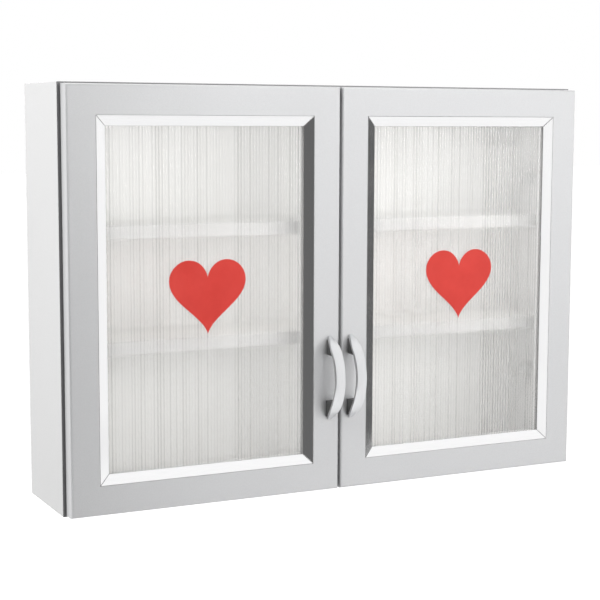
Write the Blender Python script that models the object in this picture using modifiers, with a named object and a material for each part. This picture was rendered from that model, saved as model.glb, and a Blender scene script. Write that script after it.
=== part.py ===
"""Wall cabinet for first aid supplies: two glazed doors on concealed hinges, two shelves.

Units are metres and +Z is up. The doors face -Y, and the wall plane is y = 0.
The origin is the centre of the back, on the wall plane.
"""

import math

import bmesh
import bpy
from mathutils import Matrix, Vector

# Clearances
FIT = 0.0003
BOND = 0.0001

# Carcass
CABINET_WIDTH = 0.700
CABINET_HEIGHT = 0.500
CARCASS_DEPTH = 0.129
BOARD = 0.018
EDGE_BAND = 0.001
BACK_PANEL = 0.004
BACK_REBATE = 0.009

# Shelves and their pins
SHELF_BOARD = 0.016
SHELF_SETBACK = 0.022
SHELF_SIDE_CLEARANCE = 0.0008
LOWER_BAY_HEIGHT = 0.163
MIDDLE_BAY_HEIGHT = 0.121
PIN_RADIUS = 0.0025
PIN_INSERT = 0.009
PIN_REACH = 0.008
PIN_COLLAR_RADIUS = 0.004
PIN_COLLAR = 0.0015
PIN_MARGIN = 0.022

# Wall hangers
HANGER_STEEL = 0.002
HANGER_HEIGHT = 0.046
HANGER_SIDE_REACH = 0.030
HANGER_BACK_REACH = 0.034
HANGER_DROP = 0.012
KEYHOLE_RADIUS = 0.005
KEYHOLE_SLOT = 0.005
KEYHOLE_RISE = 0.014
KEYHOLE_MARGIN = 0.0025

# Doors
DOOR_THICKNESS = 0.018
DOOR_STANDOFF = 0.003
DOOR_INSET_SIDE = 0.0032
DOOR_INSET_END = 0.002
DOOR_MEETING_GAP = 0.003
DOOR_EDGE_RADIUS = 0.003
STILE_FACE = 0.035
TRIM_WIDTH = 0.012
TRIM_SLOPE = 0.0042
TRIM_SUNK = 0.0003
TRIM_LEDGE = 0.0055
LIP = 0.0065
SEAL = 0.0012
SEAL_WIDTH = 0.0048
GLASS = 0.004
GLASS_CLEARANCE = 0.0005
LAYER_GAP = 0.0002
DECAL = 0.0003
DECAL_WIDTH = 0.098

# Handles
HANDLE_FROM_EDGE = 0.0131
HANDLE_DROP = 0.107
HANDLE_LENGTH = 0.106
HANDLE_PROJECTION = 0.030
HANDLE_THICKNESS = 0.0042
HANDLE_WIDTH = 0.014
HANDLE_ROUNDING = 0.0016
HANDLE_GRIP_LENGTH = 0.066
HANDLE_SCREW_SPACING = 0.076
SCREW_RADIUS = 0.002
SCREW_ENGAGEMENT = 0.008
SCREW_HEAD_RADIUS = 0.004
SCREW_HEAD = 0.0024

# Concealed hinges
HINGE_FROM_END = 0.117
HINGE_ABOVE_SHELF = 0.047
CUP_RADIUS = 0.0175
CUP_EDGE = 0.004
CUP_DEPTH = 0.0118
CUP_WALL = 0.0012
CUP_RIM = 0.0012
CUP_FLANGE_LENGTH = 0.054
CUP_FLANGE_WIDTH = 0.016
CUP_PIN_FROM_EDGE = 0.0116
CUP_PIN_DEPTH = 0.0016
LINK_REACH = 0.0187
LINK_RISE = 0.0034
LINK_HEIGHT = 0.012
LINK_THICKNESS = 0.0022
HINGE_PIN_RADIUS = 0.0013
EYE_RADIUS = 0.0029
ARM_LENGTH = 0.058
ARM_THICKNESS = 0.005
ARM_CHEEK = 0.002
ARM_NOSE_RADIUS = 0.0034
ARM_NECK = 0.009
PLATE_STEEL = 0.002
PLATE_RIDGE = 0.0047
PLATE_LENGTH = 0.042
PLATE_RIDGE_WIDTH = 0.012
PLATE_WING_LENGTH = 0.042
PLATE_WING_WIDTH = 0.014
PLATE_SETBACK = 0.014

# Facets on round shapes
ROUND_STEPS = 32
PIN_STEPS = 16
ARC_STEPS = 12

# Worked out from the sizes above
HALF_WIDTH = CABINET_WIDTH / 2
HALF_HEIGHT = CABINET_HEIGHT / 2
INNER_HALF_WIDTH = HALF_WIDTH - BOARD
INNER_HALF_HEIGHT = HALF_HEIGHT - BOARD
BOARD_FRONT = -(CARCASS_DEPTH - EDGE_BAND - BOND)
BACK_FACE = -(BACK_PANEL + FIT)
DOOR_BACK = -(CARCASS_DEPTH + DOOR_STANDOFF)
DOOR_FRONT = DOOR_BACK - DOOR_THICKNESS
DOOR_WIDTH = (CABINET_WIDTH - DOOR_MEETING_GAP) / 2 - DOOR_INSET_SIDE
DOOR_HEIGHT = CABINET_HEIGHT - 2 * DOOR_INSET_END
DOOR_MIDDLE = (DOOR_MEETING_GAP + DOOR_WIDTH) / 2
WINDOW_MARGIN = STILE_FACE + TRIM_WIDTH
SEAT_MARGIN = STILE_FACE + TRIM_LEDGE
GLASS_BACK = LIP + SEAL + 2 * LAYER_GAP
GLASS_FRONT = GLASS_BACK + GLASS
TRIM_SEAT = GLASS_FRONT + LAYER_GAP
CUP_CENTRE = DOOR_INSET_SIDE + CUP_EDGE + CUP_RADIUS
CUP_PIN = (DOOR_INSET_SIDE + CUP_PIN_FROM_EDGE, DOOR_STANDOFF + CUP_PIN_DEPTH)
ARM_PIN = (CUP_PIN[0] + LINK_REACH, CUP_PIN[1] + LINK_RISE)
ARM_HEIGHT = LINK_HEIGHT + 2 * (FIT + ARM_CHEEK)
ARM_BASE = BOARD + FIT + PLATE_STEEL + PLATE_RIDGE + FIT

# Colour, roughness and metallic value of each finish
FINISHES = {
    "silver_film": ((0.56, 0.56, 0.58), 0.42, 0.25),
    "carcass_film": ((0.70, 0.70, 0.70), 0.50, 0.0),
    "edge_band": ((0.21, 0.21, 0.215), 0.55, 0.0),
    "white_board": ((0.86, 0.86, 0.85), 0.50, 0.0),
    "zinc_steel": ((0.62, 0.62, 0.64), 0.32, 1.0),
    "chrome_trim": ((0.80, 0.80, 0.82), 0.10, 1.0),
    "ribbed_glass": ((0.86, 0.88, 0.88), 0.15, 0.0),
    "grey_rubber": ((0.16, 0.16, 0.17), 0.70, 0.0),
    "satin_handle": ((0.70, 0.70, 0.73), 0.35, 0.6),
    "red_vinyl": ((0.62, 0.075, 0.055), 0.45, 0.0),
}

SIDES = {"left": -1, "right": 1}
LEVELS = {"upper": 1, "lower": -1}


# Scene and object helpers


def clear_scene():
    for old in list(bpy.data.objects):
        bpy.data.objects.remove(old, do_unlink=True)


def new_collection(name):
    collection = bpy.data.collections.new(name)
    bpy.context.scene.collection.children.link(collection)
    return collection


clear_scene()
PARTS = new_collection("first_aid_cabinet")
CUTTERS = new_collection("cutters")


def add_finish(obj, finish):
    colour, roughness, metallic = FINISHES[finish]
    material = bpy.data.materials.new(obj.name + "_" + finish)
    material.use_nodes = True
    shader = material.node_tree.nodes["Principled BSDF"]
    shader.inputs["Base Color"].default_value = (*colour, 1.0)
    shader.inputs["Roughness"].default_value = roughness
    shader.inputs["Metallic"].default_value = metallic
    obj.data.materials.append(material)


def add_part(name, mesh, place, finish, axis=None):
    """A visible piece at place, carried by the empty on its joint's axis where it has one."""
    obj = bpy.data.objects.new(name, mesh)
    obj.location = place
    PARTS.objects.link(obj)
    add_finish(obj, finish)
    if axis is not None:
        obj.parent = axis
        obj.matrix_parent_inverse = Matrix.Translation(axis.location).inverted()
    return obj


def add_axis(name, place):
    axis = bpy.data.objects.new(name, None)
    axis.location = place
    axis.empty_display_size = 0.02
    PARTS.objects.link(axis)
    return axis


def helper_object(name, mesh, place):
    obj = bpy.data.objects.new(name, mesh)
    obj.location = place
    obj.hide_render = True
    obj.display_type = "WIRE"
    CUTTERS.objects.link(obj)
    return obj


def combine(obj, operation, name, mesh, place):
    """Cuts a shape out of a piece, or joins it on, with a Boolean."""
    modifier = obj.modifiers.new(name, "BOOLEAN")
    modifier.operation = operation
    modifier.solver = "EXACT"
    modifier.object = helper_object(obj.name + "_" + name, mesh, place)


# Mesh helpers


def finish_mesh(shape, name, smooth=False):
    bmesh.ops.remove_doubles(shape, verts=shape.verts, dist=1e-6)
    bmesh.ops.recalc_face_normals(shape, faces=shape.faces)
    mesh = bpy.data.meshes.new(name)
    shape.to_mesh(mesh)
    shape.free()
    if smooth:
        mesh.shade_smooth()
        mesh.set_sharp_from_angle(angle=math.radians(35))
    return mesh


def box_mesh(name, size):
    shape = bmesh.new()
    bmesh.ops.create_cube(shape, size=1.0)
    bmesh.ops.scale(shape, vec=size, verts=shape.verts)
    return finish_mesh(shape, name)


def span(one, two):
    """Size and centre of the box between two opposite corners."""
    size = Vector([abs(a - b) for a, b in zip(one, two)])
    return size, (Vector(one) + Vector(two)) / 2


def add_box(name, one, two, finish, axis=None):
    size, centre = span(one, two)
    return add_part(name, box_mesh(name, size), centre, finish, axis)


def combine_box(obj, operation, name, one, two):
    size, centre = span(one, two)
    combine(obj, operation, name, box_mesh(name, size), centre)


def rod_mesh(name, radius, length, direction, steps=PIN_STEPS):
    shape = bmesh.new()
    bmesh.ops.create_cone(
        shape,
        cap_ends=True,
        segments=steps,
        radius1=radius,
        radius2=radius,
        depth=length,
    )
    turn = Vector((0, 0, 1)).rotation_difference(Vector(direction)).to_matrix()
    bmesh.ops.rotate(shape, matrix=turn, verts=shape.verts)
    return finish_mesh(shape, name, smooth=True)


def evaluated_mesh(obj, name):
    """A welded mesh of a helper object as it stands, with the helper removed."""
    bpy.context.view_layer.update()
    graph = bpy.context.evaluated_depsgraph_get()
    raw = bpy.data.meshes.new_from_object(obj.evaluated_get(graph))
    bpy.data.objects.remove(obj, do_unlink=True)
    shape = bmesh.new()
    shape.from_mesh(raw)
    bpy.data.meshes.remove(raw)
    return finish_mesh(shape, name, smooth=True)


def outline_mesh(name, loops, thickness):
    """A flat outline in XY, with its holes, as a plate of this thickness about z = 0."""
    curve = bpy.data.curves.new(name, "CURVE")
    curve.dimensions = "2D"
    curve.fill_mode = "BOTH"
    curve.extrude = thickness / 2
    for loop in loops:
        spline = curve.splines.new("POLY")
        spline.points.add(len(loop) - 1)
        for point, (x, y) in zip(spline.points, loop):
            point.co = (x, y, 0.0, 1.0)
        spline.use_cyclic_u = True
    return evaluated_mesh(helper_object(name, curve, (0, 0, 0)), name)


def merge_flat_faces(mesh):
    """Joins the triangles of each flat face into one face, so that a bevel runs clean along it."""
    shape = bmesh.new()
    shape.from_mesh(mesh)
    bmesh.ops.dissolve_limit(shape, angle_limit=0.001, verts=shape.verts, edges=shape.edges)
    shape.to_mesh(mesh)
    shape.free()
    return mesh


def turned_mesh(name, profile, direction, steps):
    """A profile of (radius, height) pairs, listed from the top down, turned about an axis."""
    line = bpy.data.meshes.new(name)
    points = [(radius, 0.0, height) for radius, height in profile]
    line.from_pydata(points, [(i, i + 1) for i in range(len(points) - 1)], [])
    obj = helper_object(name, line, (0, 0, 0))
    screw = obj.modifiers.new("turn", "SCREW")
    screw.steps = steps
    screw.render_steps = steps
    screw.use_merge_vertices = True
    screw.merge_threshold = 0.00001
    mesh = evaluated_mesh(obj, name)
    turn = Vector((0, 0, 1)).rotation_difference(Vector(direction))
    mesh.transform(turn.to_matrix().to_4x4())
    return mesh


def arc(centre, radius, start, end, steps):
    """Points from one angle to another, in radians, both ends included."""
    angles = [start + (end - start) * i / steps for i in range(steps + 1)]
    return [(centre[0] + radius * math.cos(a), centre[1] + radius * math.sin(a)) for a in angles]


def circle(centre, radius, steps=PIN_STEPS):
    return arc(centre, radius, 0.0, 2 * math.pi, steps)[:-1]


def bow(half_span, rise, steps):
    """A circular arc from one end of a span to the other, through its rise."""
    radius = (half_span**2 + rise**2) / (2 * rise)
    reach = math.asin(half_span / radius)
    if rise > half_span:
        reach = math.pi - reach
    return arc((0.0, rise - radius), radius, math.pi / 2 + reach, math.pi / 2 - reach, steps)


# Carcass boards


def add_side_panel(side_name, side):
    inner = side * INNER_HALF_WIDTH
    one = (inner, BOARD_FRONT, -HALF_HEIGHT)
    two = (side * HALF_WIDTH, 0.0, HALF_HEIGHT)
    panel = add_box("side_panel_" + side_name, one, two, "carcass_film")
    reach = INNER_HALF_HEIGHT + BACK_REBATE
    one = (inner - side * BACK_REBATE, BACK_FACE, -reach)
    two = (inner + side * BACK_REBATE, BACK_PANEL, reach)
    combine_box(panel, "DIFFERENCE", "rebate", one, two)
    for name, y, z in shelf_pin_places():
        hole = rod_mesh(name, PIN_RADIUS + FIT, 2 * (PIN_INSERT + FIT), (1, 0, 0))
        combine(panel, "DIFFERENCE", "hole_" + name, hole, (inner, y, z))


def add_end_panel(name, level):
    inner = level * INNER_HALF_HEIGHT
    reach = INNER_HALF_WIDTH - FIT
    one = (-reach, BOARD_FRONT, inner)
    two = (reach, 0.0, level * HALF_HEIGHT)
    panel = add_box(name, one, two, "carcass_film")
    one = (-HALF_WIDTH, BACK_FACE, inner - level * BACK_REBATE)
    two = (HALF_WIDTH, BACK_PANEL, inner + level * BACK_REBATE)
    combine_box(panel, "DIFFERENCE", "rebate", one, two)


def add_back_panel():
    half_width = INNER_HALF_WIDTH + BACK_REBATE - FIT
    half_height = INNER_HALF_HEIGHT + BACK_REBATE - FIT
    one = (-half_width, -BACK_PANEL, -half_height)
    two = (half_width, 0.0, half_height)
    panel = add_box("back_panel", one, two, "white_board")
    hole = keyhole_outline(KEYHOLE_RADIUS + KEYHOLE_MARGIN, KEYHOLE_RADIUS + KEYHOLE_MARGIN)
    for side_name, side in SIDES.items():
        mesh = upright(outline_mesh("hanger_hole_" + side_name, [hole], 4 * BACK_PANEL))
        place = (side * hanger_middle(), 0.0, keyhole_height())
        combine(panel, "DIFFERENCE", "hanger_hole_" + side_name, mesh, place)


def add_edge_bands():
    front = -CARCASS_DEPTH
    back = front + EDGE_BAND
    for side_name, side in SIDES.items():
        one = (side * INNER_HALF_WIDTH, front, -HALF_HEIGHT)
        two = (side * HALF_WIDTH, back, HALF_HEIGHT)
        add_box("edge_band_" + side_name, one, two, "edge_band")
    reach = INNER_HALF_WIDTH - FIT
    for end_name, level in {"top": 1, "bottom": -1}.items():
        one = (-reach, front, level * INNER_HALF_HEIGHT)
        two = (reach, back, level * HALF_HEIGHT)
        add_box("edge_band_" + end_name, one, two, "edge_band")


# Shelves


def shelf_undersides():
    lower = -INNER_HALF_HEIGHT + LOWER_BAY_HEIGHT
    return {"lower": lower, "upper": lower + SHELF_BOARD + MIDDLE_BAY_HEIGHT}


def shelf_front():
    return -CARCASS_DEPTH + SHELF_SETBACK


def shelf_pin_places():
    """Name, y and z of the pins on one side: the shelf rests on top of each."""
    rows = {"front": shelf_front() + PIN_MARGIN, "back": BACK_FACE - PIN_MARGIN}
    places = []
    for shelf, underside in shelf_undersides().items():
        for row, y in rows.items():
            places.append((shelf + "_" + row, y, underside - FIT - PIN_RADIUS))
    return places


def add_shelf(shelf, underside):
    half = INNER_HALF_WIDTH - SHELF_SIDE_CLEARANCE
    one = (-half, shelf_front(), underside)
    two = (half, BACK_FACE, underside + SHELF_BOARD)
    add_box(shelf + "_shelf", one, two, "white_board")


def add_shelf_pins(side_name, side):
    """Turned pins with a collar against the board, the collar cut flat under the shelf."""
    profile = [
        (0.0, PIN_REACH),
        (PIN_RADIUS, PIN_REACH),
        (PIN_RADIUS, PIN_COLLAR + FIT),
        (PIN_COLLAR_RADIUS, PIN_COLLAR + FIT),
        (PIN_COLLAR_RADIUS, FIT),
        (PIN_RADIUS, FIT),
        (PIN_RADIUS, -PIN_INSERT),
        (0.0, -PIN_INSERT),
    ]
    for name, y, z in shelf_pin_places():
        node = "shelf_pin_" + name + "_" + side_name
        mesh = turned_mesh(node, profile, (-side, 0, 0), PIN_STEPS)
        pin = add_part(node, mesh, (side * INNER_HALF_WIDTH, y, z), "zinc_steel")
        one = (-HALF_WIDTH, y - 2 * PIN_COLLAR_RADIUS, z + PIN_RADIUS)
        two = (HALF_WIDTH, y + 2 * PIN_COLLAR_RADIUS, z + 2 * PIN_COLLAR_RADIUS)
        combine_box(pin, "DIFFERENCE", "flat", one, two)


# Wall hangers


def keyhole_outline(radius, slot):
    """A round hole with a narrower slot that rises from it and ends in a half circle."""
    if slot < radius:
        spread = math.asin(slot / radius)
    else:
        spread = math.pi / 2
    points = arc((0.0, 0.0), radius, math.pi / 2 + spread, 5 * math.pi / 2 - spread, ROUND_STEPS)
    return points + arc((0.0, KEYHOLE_RISE), slot, 0.0, math.pi, ARC_STEPS)


def upright(mesh):
    """Stands a plate up: its outline's Y becomes Z, and its thickness lies along Y."""
    mesh.transform(Matrix.Rotation(math.pi / 2, 4, "X"))
    return mesh


def hanger_middle():
    return INNER_HALF_WIDTH - FIT - HANGER_BACK_REACH / 2 - HANGER_STEEL / 2


def hanger_low():
    return INNER_HALF_HEIGHT - HANGER_DROP - HANGER_HEIGHT


def keyhole_height():
    return hanger_low() + (HANGER_HEIGHT - KEYHOLE_RISE) / 2


def add_wall_hanger(side_name, side):
    """An angle of sheet steel on the side and the back, with a keyhole over the wall screw."""
    corner = (side * (INNER_HALF_WIDTH - FIT), BACK_FACE, hanger_low())
    top = hanger_low() + HANGER_HEIGHT
    side_end = (corner[0] - side * HANGER_STEEL, BACK_FACE - HANGER_SIDE_REACH, top)
    hanger = add_box("wall_hanger_" + side_name, corner, side_end, "zinc_steel")
    back_end = (corner[0] - side * HANGER_BACK_REACH, BACK_FACE - HANGER_STEEL, top)
    combine_box(hanger, "UNION", "back_leg", corner, back_end)
    hole = keyhole_outline(KEYHOLE_RADIUS, KEYHOLE_SLOT / 2)
    mesh = upright(outline_mesh("keyhole_" + side_name, [hole], 4 * HANGER_STEEL))
    place = (side * hanger_middle(), BACK_FACE, keyhole_height())
    combine(hanger, "DIFFERENCE", "keyhole", mesh, place)


# Concealed hinges
# Hinge points are pairs (u, v): u inboard from the cabinet's outer face, v forward of its front edge.


def hinge_height(level_name):
    """The lower hinge is set from the door's end, the upper one so that it clears the upper shelf."""
    if level_name == "lower":
        return HINGE_FROM_END - DOOR_HEIGHT / 2
    return shelf_undersides()["upper"] + SHELF_BOARD + HINGE_ABOVE_SHELF


def hinge_place(side, point, z):
    u, v = point
    return Vector((side * (HALF_WIDTH - u), -CARCASS_DEPTH - v, z))


def hinge_outline(side, points, origin):
    return [(-side * (u - origin[0]), origin[1] - v) for u, v in points]


def add_hinge_plate(node, side, z):
    """A base with two wings on the side board, and a ridge along it that carries the arm."""
    base = BOARD + FIT
    steel = base + PLATE_STEEL
    front = -PLATE_SETBACK
    back = front - PLATE_LENGTH
    middle = (front + back) / 2
    half_wing = PLATE_WING_WIDTH / 2
    one = hinge_place(side, (base, middle - half_wing), z - PLATE_WING_LENGTH / 2)
    two = hinge_place(side, (steel, middle + half_wing), z + PLATE_WING_LENGTH / 2)
    plate = add_box(node, one, two, "zinc_steel")
    one = hinge_place(side, (base, back), z - PLATE_RIDGE_WIDTH / 2)
    two = hinge_place(side, (steel + PLATE_RIDGE, front), z + PLATE_RIDGE_WIDTH / 2)
    combine_box(plate, "UNION", "ridge", one, two)


def add_hinge_arm(node, side, z):
    """A flat arm with a raised nose, slotted for the link and carrying the link's pin."""
    base = ARM_BASE
    top = base + ARM_THICKNESS
    nose = arc(ARM_PIN, ARM_NOSE_RADIUS, 0.0, math.pi, ARC_STEPS)
    outline = [(base, -ARM_LENGTH), (top, -ARM_LENGTH), (top, -ARM_NECK), *nose]
    outline.append((base, ARM_THICKNESS - ARM_NECK))
    mesh = outline_mesh(node, [hinge_outline(side, outline, ARM_PIN)], ARM_HEIGHT)
    place = hinge_place(side, ARM_PIN, z)
    arm = add_part(node, mesh, place, "zinc_steel")
    slot_back = ARM_PIN[1] - 4 * EYE_RADIUS
    one = hinge_place(side, (0.0, slot_back), z - LINK_HEIGHT / 2 - FIT)
    two = hinge_place(side, (2 * ARM_PIN[0], ARM_LENGTH), z + LINK_HEIGHT / 2 + FIT)
    combine_box(arm, "DIFFERENCE", "slot", one, two)
    pin = rod_mesh(node, HINGE_PIN_RADIUS, ARM_HEIGHT - ARM_CHEEK, (0, 0, 1))
    combine(arm, "UNION", "pin", pin, place)


def add_hinge_link(node, side, z, axis):
    """A flat bar with an eye at each end, one on the arm's pin and one on the cup's pin."""
    away = math.atan2(CUP_PIN[1] - ARM_PIN[1], CUP_PIN[0] - ARM_PIN[0])
    neck = math.asin(LINK_THICKNESS / 2 / EYE_RADIUS)
    full = 2 * math.pi
    outline = arc(ARM_PIN, EYE_RADIUS, away + neck, away + full - neck, PIN_STEPS)
    back = away + math.pi
    outline += arc(CUP_PIN, EYE_RADIUS, back + neck, back + full - neck, PIN_STEPS)
    loops = [outline]
    for pin in (ARM_PIN, CUP_PIN):
        loops.append(circle(pin, HINGE_PIN_RADIUS + FIT))
    loops = [hinge_outline(side, loop, ARM_PIN) for loop in loops]
    mesh = outline_mesh(node, loops, LINK_HEIGHT)
    add_part(node, mesh, hinge_place(side, ARM_PIN, z), "zinc_steel", axis)


def cup_wing_outlines(root):
    """Two tongues with round ends, one up and one down, that start on a circle of this radius."""
    half = CUP_FLANGE_WIDTH / 2
    spread = math.asin(half / root)
    upper = arc((0.0, 0.0), root, math.pi / 2 + spread, math.pi / 2 - spread, ARC_STEPS)
    upper += arc((0.0, CUP_FLANGE_LENGTH / 2 - half), half, 0.0, math.pi, ARC_STEPS)
    return [upper, [(-x, -y) for x, y in upper]]


def add_hinge_cup(node, side, z, axis):
    """A turned cup sunk in the door, with wings on the door's back and a pin across it."""
    inner = CUP_RADIUS - CUP_WALL
    profile = [
        (inner, CUP_RIM + FIT),
        (inner, CUP_WALL - CUP_DEPTH),
        (0.0, CUP_WALL - CUP_DEPTH),
        (0.0, -CUP_DEPTH),
        (CUP_RADIUS, -CUP_DEPTH),
        (CUP_RADIUS, CUP_RIM + FIT),
        (inner, CUP_RIM + FIT),
    ]
    mesh = turned_mesh(node, profile, (0, 1, 0), ROUND_STEPS)
    cup = add_part(node, mesh, hinge_place(side, (CUP_CENTRE, DOOR_STANDOFF), z), "zinc_steel", axis)
    mid_wall = CUP_RADIUS - CUP_WALL / 2
    wings = upright(outline_mesh(node + "_wings", cup_wing_outlines(mid_wall), CUP_RIM))
    wing_level = DOOR_STANDOFF - FIT - CUP_RIM / 2
    combine(cup, "UNION", "wings", wings, hinge_place(side, (CUP_CENTRE, wing_level), z))
    chord = math.sqrt(mid_wall**2 - (CUP_CENTRE - CUP_PIN[0]) ** 2)
    pin = rod_mesh(node, HINGE_PIN_RADIUS, 2 * chord, (0, 0, 1))
    combine(cup, "UNION", "pin", pin, hinge_place(side, CUP_PIN, z))


# Doors


def door_depth(height):
    """World y of a level measured forward from the door's back face."""
    return DOOR_BACK - height


def door_box(side, margin, back, front):
    """Corners of a box inside a door, this far from its edges and between two levels."""
    half_width = DOOR_WIDTH / 2 - margin
    half_height = DOOR_HEIGHT / 2 - margin
    low = (side * DOOR_MIDDLE - half_width, door_depth(front), -half_height)
    high = (side * DOOR_MIDDLE + half_width, door_depth(back), half_height)
    return low, high


def rounded_door_mesh(name, size):
    """A door blank with its front edges rounded over."""
    shape = bmesh.new()
    bmesh.ops.create_cube(shape, size=1.0)
    bmesh.ops.scale(shape, vec=size, verts=shape.verts)
    front = [edge for edge in shape.edges if all(vert.co.y < 0 for vert in edge.verts)]
    bmesh.ops.bevel(
        shape,
        geom=front,
        offset=DOOR_EDGE_RADIUS,
        segments=4,
        profile=0.5,
        affect="EDGES",
    )
    return finish_mesh(shape, name, smooth=True)


def add_door_frame(side_name, side, axis):
    low, high = door_box(side, 0.0, 0.0, DOOR_THICKNESS)
    size, centre = span(low, high)
    node = "door_frame_" + side_name
    frame = add_part(node, rounded_door_mesh(node, size), centre, "silver_film", axis)
    over = DOOR_THICKNESS / 2
    window = door_box(side, WINDOW_MARGIN, -over, DOOR_THICKNESS + over)
    combine_box(frame, "DIFFERENCE", "window", *window)
    glass_seat = door_box(side, SEAT_MARGIN, LIP, TRIM_SEAT + LAYER_GAP)
    combine_box(frame, "DIFFERENCE", "glass_seat", *glass_seat)
    trim_seat = door_box(side, STILE_FACE, TRIM_SEAT, DOOR_THICKNESS + over)
    combine_box(frame, "DIFFERENCE", "trim_seat", *trim_seat)
    for level_name, level in LEVELS.items():
        bore = rod_mesh(node, CUP_RADIUS + FIT, 2 * (CUP_DEPTH + FIT), (0, 1, 0), ROUND_STEPS)
        place = hinge_place(side, (CUP_CENTRE, DOOR_STANDOFF), hinge_height(level_name))
        combine(frame, "DIFFERENCE", "cup_bore_" + level_name, bore, place)
        hole = rod_mesh(node, SCREW_RADIUS + FIT, 2 * DOOR_THICKNESS, (0, 1, 0))
        place = (side * handle_x(), door_depth(over), handle_screw_z(level))
        combine(frame, "DIFFERENCE", "screw_hole_" + level_name, hole, place)


def trim_mesh(name, length):
    """A bar along X whose face slopes down from its outer to its inner edge, with mitred ends.

    Its outer edge lies at y = 0, its inner edge at y = width, and it stands on z = 0.
    """
    outer_height = DOOR_THICKNESS - TRIM_SUNK - TRIM_SEAT - LAYER_GAP
    inner_height = DOOR_THICKNESS - TRIM_SLOPE - TRIM_SEAT - LAYER_GAP
    shape = bmesh.new()
    bmesh.ops.create_cube(shape, size=2.0)
    for vert in shape.verts:
        inward = (vert.co.y + 1) / 2
        upper = (vert.co.z + 1) / 2
        height = outer_height + (inner_height - outer_height) * inward
        vert.co.x *= length / 2 - TRIM_WIDTH * inward
        vert.co.y = TRIM_WIDTH * inward
        vert.co.z = height * upper
    return finish_mesh(shape, name)


def add_trims(side_name, side, axis):
    """Four mitred bars round the window, each turned so that it slopes towards the glass."""
    half_width = DOOR_WIDTH / 2 - STILE_FACE - FIT
    half_height = DOOR_HEIGHT / 2 - STILE_FACE - FIT
    runs = {
        "top": (half_width, half_height, 180),
        "left": (half_height, half_width, 270),
        "bottom": (half_width, half_height, 0),
        "right": (half_height, half_width, 90),
    }
    middle = Vector((side * DOOR_MIDDLE, door_depth(TRIM_SEAT + LAYER_GAP), 0.0))
    for name, (reach, distance, angle) in runs.items():
        node = "glazing_trim_" + side_name + "_" + name
        mesh = trim_mesh(node, 2 * (reach - FIT))
        mesh.transform(Matrix.Translation((0.0, -distance, 0.0)))
        mesh.transform(Matrix.Rotation(math.radians(angle), 4, "Z"))
        upright(mesh)
        add_part(node, mesh, middle, "chrome_trim", axis)


def add_glazing(side_name, side, axis):
    margin = SEAT_MARGIN + GLASS_CLEARANCE
    glass = door_box(side, margin, GLASS_BACK, GLASS_FRONT)
    add_box("glass_" + side_name, *glass, "ribbed_glass", axis)
    seal = door_box(side, margin, LIP + LAYER_GAP, LIP + LAYER_GAP + SEAL)
    ring = add_box("glazing_seal_" + side_name, *seal, "grey_rubber", axis)
    inside = door_box(side, margin + SEAL_WIDTH, 0.0, GLASS_FRONT)
    combine_box(ring, "DIFFERENCE", "opening", *inside)


def heart_outline(width):
    points = []
    for i in range(2 * ROUND_STEPS):
        t = math.pi * i / ROUND_STEPS
        x = 16 * math.sin(t) ** 3
        y = 13 * math.cos(t) - 5 * math.cos(2 * t) - 2 * math.cos(3 * t) - math.cos(4 * t)
        points.append((x * width / 32, (y + 2.5) * width / 32))
    return points


def add_decal(side_name, side, axis):
    node = "heart_decal_" + side_name
    mesh = upright(outline_mesh(node, [heart_outline(DECAL_WIDTH)], DECAL))
    level = GLASS_FRONT + BOND + DECAL / 2
    add_part(node, mesh, (side * DOOR_MIDDLE, door_depth(level), 0.0), "red_vinyl", axis)


# Handles


def handle_x():
    return DOOR_MEETING_GAP / 2 + HANDLE_FROM_EDGE


def handle_screw_z(level):
    return -HANDLE_DROP + level * HANDLE_SCREW_SPACING / 2


def add_handle(side_name, side, axis):
    """A bowed strip between two solid feet, screwed from behind."""
    outer = bow(HANDLE_LENGTH / 2, HANDLE_PROJECTION, 2 * ARC_STEPS)
    inner = bow(HANDLE_GRIP_LENGTH / 2, HANDLE_PROJECTION - HANDLE_THICKNESS, 2 * ARC_STEPS)
    node = "handle_" + side_name
    mesh = merge_flat_faces(outline_mesh(node, [outer + inner[::-1]], HANDLE_WIDTH))
    along_z = Matrix(((0, 0, 1, 0), (0, -1, 0, 0), (1, 0, 0, 0), (0, 0, 0, 1)))
    mesh.transform(along_z)
    place = (side * handle_x(), DOOR_FRONT - FIT, -HANDLE_DROP)
    handle = add_part(node, mesh, place, "satin_handle", axis)
    rounding = handle.modifiers.new("rounding", "BEVEL")
    rounding.width = HANDLE_ROUNDING
    rounding.segments = 2
    rounding.limit_method = "ANGLE"
    rounding.angle_limit = math.radians(60)
    depth = 2 * (SCREW_ENGAGEMENT + FIT)
    for level_name, level in LEVELS.items():
        hole = rod_mesh(node, SCREW_RADIUS + FIT, depth, (0, 1, 0))
        where = (side * handle_x(), DOOR_FRONT, handle_screw_z(level))
        combine(handle, "DIFFERENCE", "screw_hole_" + level_name, hole, where)


def add_handle_screws(side_name, side, axis):
    """Pan head screws from the door's back into the handle's feet."""
    tip = -(DOOR_THICKNESS + SCREW_ENGAGEMENT)
    crown = SCREW_HEAD_RADIUS * 0.6
    profile = [
        (0.0, SCREW_HEAD + FIT),
        (crown, SCREW_HEAD + FIT),
        (SCREW_HEAD_RADIUS, SCREW_HEAD / 2 + FIT),
        (SCREW_HEAD_RADIUS, FIT),
        (SCREW_RADIUS, FIT),
        (SCREW_RADIUS, tip),
        (0.0, tip),
    ]
    for level_name, level in LEVELS.items():
        node = "handle_screw_" + side_name + "_" + level_name
        mesh = turned_mesh(node, profile, (0, 1, 0), PIN_STEPS)
        place = (side * handle_x(), DOOR_BACK, handle_screw_z(level))
        add_part(node, mesh, place, "zinc_steel", axis)


# Assembly


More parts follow.
